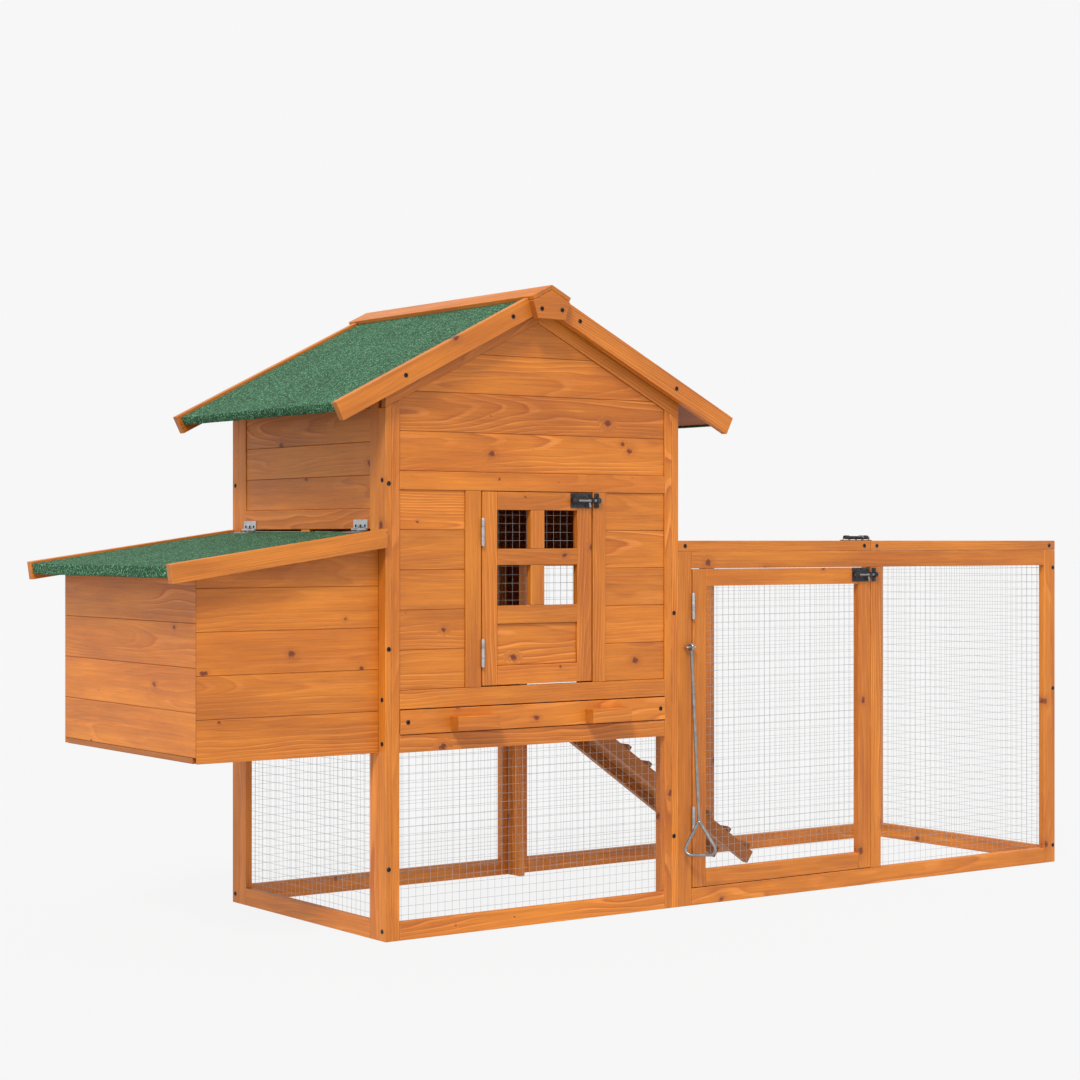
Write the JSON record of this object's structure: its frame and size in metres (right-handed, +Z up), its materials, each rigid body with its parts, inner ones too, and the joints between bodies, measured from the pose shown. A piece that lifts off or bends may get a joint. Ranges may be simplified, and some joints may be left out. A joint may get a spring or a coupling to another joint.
{
  "type": "chicken coop",
  "caption": "Gabled timber chicken coop on legs with a lidded nest box, a wire run with a ramp, hinged doors, a slide-out tray and felted roofs.",
  "frame": {"origin": "middle of the whole object's bounding box, on the ground under the frames", "axes": "+X from the nest box to the run, +Y from the front (doors) to the back, +Z up"},
  "size_m": [2.0776, 0.6526, 1.1301],
  "materials": {
    "stained_fir": "clear honey stain, satin",
    "inner_fir": "stained, unvarnished and darker inside",
    "green_felt": "mineral-coated roofing felt, matte",
    "zinc_steel": "zinc plated",
    "welded_mesh": "galvanised wire",
    "dark_steel": "dark zinc, satin",
    "screw_steel": "blackened"
  },
  "bodies": {
    "coop": {"corner_posts": "stained_fir", "front_frame": "stained_fir", "front_cladding": "stained_fir", "back_frame": "stained_fir", "back_cladding": "stained_fir", "left_frame": "stained_fir", "left_cladding": "stained_fir", "right_frame": "stained_fir", "right_cladding": "stained_fir", "house_mesh": "welded_mesh", "tray_runners": "inner_fir", "perch": "inner_fir", "roof_frame": "stained_fir", "roof_boards": "inner_fir", "roof_felt": "green_felt", "bargeboards": "stained_fir", "ridge_cap": "stained_fir", "ridge_blocks": "stained_fir", "nest_side_walls": "stained_fir", "nest_end_wall": "stained_fir", "nest_floor": "inner_fir", "nest_divider": "inner_fir", "run_front_frame": "stained_fir", "run_back_frame": "stained_fir", "run_end_frame": "stained_fir", "run_top_frame": "stained_fir", "run_mesh": "welded_mesh", "pop_door_guides": "inner_fir", "pull_rod_staple": "zinc_steel", "bolt_keepers": "dark_steel", "lid_bolt_plate": "dark_steel", "hinge_plates": "zinc_steel", "hinge_pins": "zinc_steel", "frame_screws": "screw_steel"},
    "nest_lid": {"nest_lid_boards": "inner_fir", "nest_lid_felt": "green_felt", "nest_lid_battens": "stained_fir", "nest_lid_hinge_leaves": "zinc_steel"},
    "house_door": {"house_door_frame": "stained_fir", "house_door_panel": "stained_fir", "house_door_mesh": "welded_mesh", "house_door_hinge_leaves": "zinc_steel", "house_bolt_plate": "dark_steel"},
    "house_bolt": {"house_bolt_rod": "dark_steel"},
    "tray": {"tray_front": "stained_fir", "tray_pulls": "stained_fir", "tray_pan": "zinc_steel"},
    "run_door": {"run_door_frame": "stained_fir", "run_door_mesh": "welded_mesh", "run_door_hinge_leaves": "zinc_steel", "run_bolt_plate": "dark_steel"},
    "run_bolt": {"run_bolt_rod": "dark_steel"},
    "run_lid": {"run_lid_frame": "stained_fir", "run_lid_mesh": "welded_mesh", "run_lid_ironwork": "dark_steel"},
    "lid_bolt": {"lid_bolt_rod": "dark_steel"},
    "pop_door": {"pop_door": "stained_fir"},
    "ramp": {"ramp": "inner_fir", "ramp_hinge_leaves": "zinc_steel"},
    "pull_rod": {"pull_rod": "zinc_steel"}
  },
  "joints": [
    {"name": "nest_lid_hinge", "type": "hinge", "parent": "coop", "child": "nest_lid", "pos_m": [-0.63412, 0.01424, 0.69915], "axis": [0, 1, 0], "range_deg": [0, 50]},
    {"name": "house_door_hinge", "type": "hinge", "parent": "coop", "child": "house_door", "pos_m": [-0.43307, -0.25936, 0.59485], "axis": [0, 0, -1], "range_deg": [0, 120]},
    {"name": "house_bolt_slide", "type": "slide", "parent": "house_door", "child": "house_bolt", "axis": [-1, 0, 0], "range_m": [0, 0.02]},
    {"name": "tray_slide", "type": "slide", "parent": "coop", "child": "tray", "axis": [0, -1, 0], "range_m": [0, 0.45]},
    {"name": "run_door_hinge", "type": "hinge", "parent": "coop", "child": "run_door", "pos_m": [0.04243, -0.25936, 0.32985], "axis": [0, 0, -1], "range_deg": [0, 75]},
    {"name": "run_bolt_slide", "type": "slide", "parent": "run_door", "child": "run_bolt", "axis": [-1, 0, 0], "range_m": [0, 0.02]},
    {"name": "run_lid_hinge", "type": "hinge", "parent": "coop", "child": "run_lid", "pos_m": [0.76918, 0.28794, 0.66], "axis": [-1, 0, 0], "range_deg": [0, 100]},
    {"name": "lid_bolt_slide", "type": "slide", "parent": "coop", "child": "lid_bolt", "axis": [-1, 0, 0], "range_m": [0, 0.02]},
    {"name": "pop_door_slide", "type": "slide", "parent": "coop", "child": "pop_door", "axis": [0, 1, 0], "range_m": [0, 0.209]},
    {"name": "ramp_hinge", "type": "hinge", "parent": "coop", "child": "ramp", "pos_m": [0.02738, 0.16324, 0.34485], "axis": [0, -1, 0], "range_deg": [0, 60]},
    {"name": "pull_rod_swing", "type": "hinge", "parent": "coop", "child": "pull_rod", "pos_m": [0.03218, -0.26526, 0.48185], "axis": [-1, 0, 0], "range_deg": [0, 80]}
  ]
}
